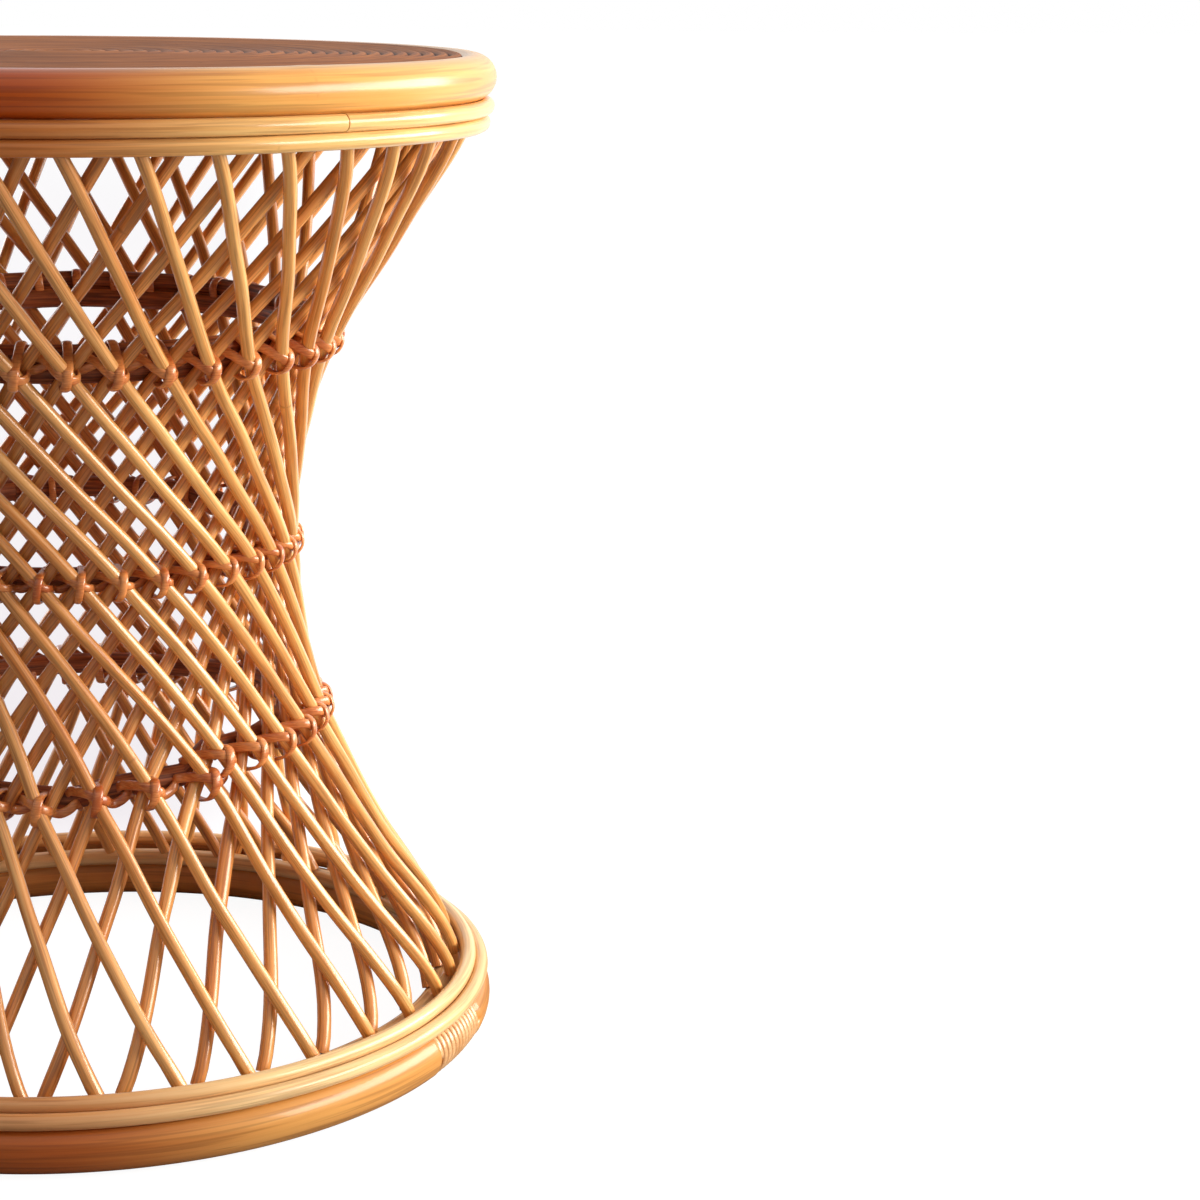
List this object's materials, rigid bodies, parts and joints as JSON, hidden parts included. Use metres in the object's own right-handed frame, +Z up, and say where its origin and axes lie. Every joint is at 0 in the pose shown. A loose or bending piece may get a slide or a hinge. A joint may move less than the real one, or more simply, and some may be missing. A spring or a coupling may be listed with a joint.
{
  "type": "drum stool",
  "caption": "Round waisted drum stool of varnished cane, with crossing stakes tied to hoops between a rim pole and a base pole, and a flat coiled top.",
  "frame": {"origin": "on the floor at the centre of the base ring", "axes": "+Z up along the drum's axis, -Y towards the front as pictured"},
  "size_m": [0.3842, 0.3842, 0.45],
  "materials": {
    "outer_stake_cane": "clear varnish over golden skin-on cane, semi-gloss",
    "inner_stake_cane": "clear varnish over golden brown cane, semi-gloss",
    "rim_cane": "clear varnish over thick golden cane, glossy",
    "base_cane": "clear varnish over thick red-brown cane, semi-gloss",
    "hoop_cane": "dark stained core cane, rough",
    "peel": "stained cane peel, semi-gloss",
    "binding_peel": "clear varnish over pale cane peel, glossy",
    "coil_cane": "brown stained thin cane, satin",
    "board": "unfinished plywood, matt"
  },
  "bodies": {
    "root": {"rim_pole": "rim_cane", "upper_rim_band": "rim_cane", "lower_rim_band": "rim_cane", "base_pole": "base_cane", "lower_base_band": "base_cane", "upper_base_band": "base_cane", "inner_base_band": "base_cane", "inner_nailing_ring": "rim_cane", "upper_hoop": "hoop_cane", "waist_hoop": "hoop_cane", "lower_hoop": "hoop_cane", "upper_lashing_front": "peel", "upper_lashing_back": "peel", "waist_lashing_front": "peel", "waist_lashing_back": "peel", "lower_lashing_front": "peel", "lower_lashing_back": "peel", "base_joint_binding": "binding_peel", "seat_board": "board", "seat_coil": "coil_cane", "seat_centre_coil": "coil_cane", "outer_stake_pair_01": "outer_stake_cane", "inner_stake_pair_01": "inner_stake_cane", "outer_stake_pair_02": "outer_stake_cane", "inner_stake_pair_02": "inner_stake_cane", "outer_stake_pair_03": "outer_stake_cane", "inner_stake_pair_03": "inner_stake_cane", "outer_stake_pair_04": "outer_stake_cane", "inner_stake_pair_04": "inner_stake_cane", "outer_stake_pair_05": "outer_stake_cane", "inner_stake_pair_05": "inner_stake_cane", "outer_stake_pair_06": "outer_stake_cane", "inner_stake_pair_06": "inner_stake_cane", "outer_stake_pair_07": "outer_stake_cane", "inner_stake_pair_07": "inner_stake_cane", "outer_stake_pair_08": "outer_stake_cane", "inner_stake_pair_08": "inner_stake_cane", "outer_stake_pair_09": "outer_stake_cane", "inner_stake_pair_09": "inner_stake_cane", "outer_stake_pair_10": "outer_stake_cane", "inner_stake_pair_10": "inner_stake_cane", "outer_stake_pair_11": "outer_stake_cane", "inner_stake_pair_11": "inner_stake_cane", "outer_stake_pair_12": "outer_stake_cane", "inner_stake_pair_12": "inner_stake_cane", "outer_stake_pair_13": "outer_stake_cane", "inner_stake_pair_13": "inner_stake_cane", "outer_stake_pair_14": "outer_stake_cane", "inner_stake_pair_14": "inner_stake_cane", "outer_stake_pair_15": "outer_stake_cane", "inner_stake_pair_15": "inner_stake_cane", "outer_stake_pair_16": "outer_stake_cane", "inner_stake_pair_16": "inner_stake_cane", "outer_stake_pair_17": "outer_stake_cane", "inner_stake_pair_17": "inner_stake_cane", "outer_stake_pair_18": "outer_stake_cane", "inner_stake_pair_18": "inner_stake_cane"}
  },
  "joints": []
}
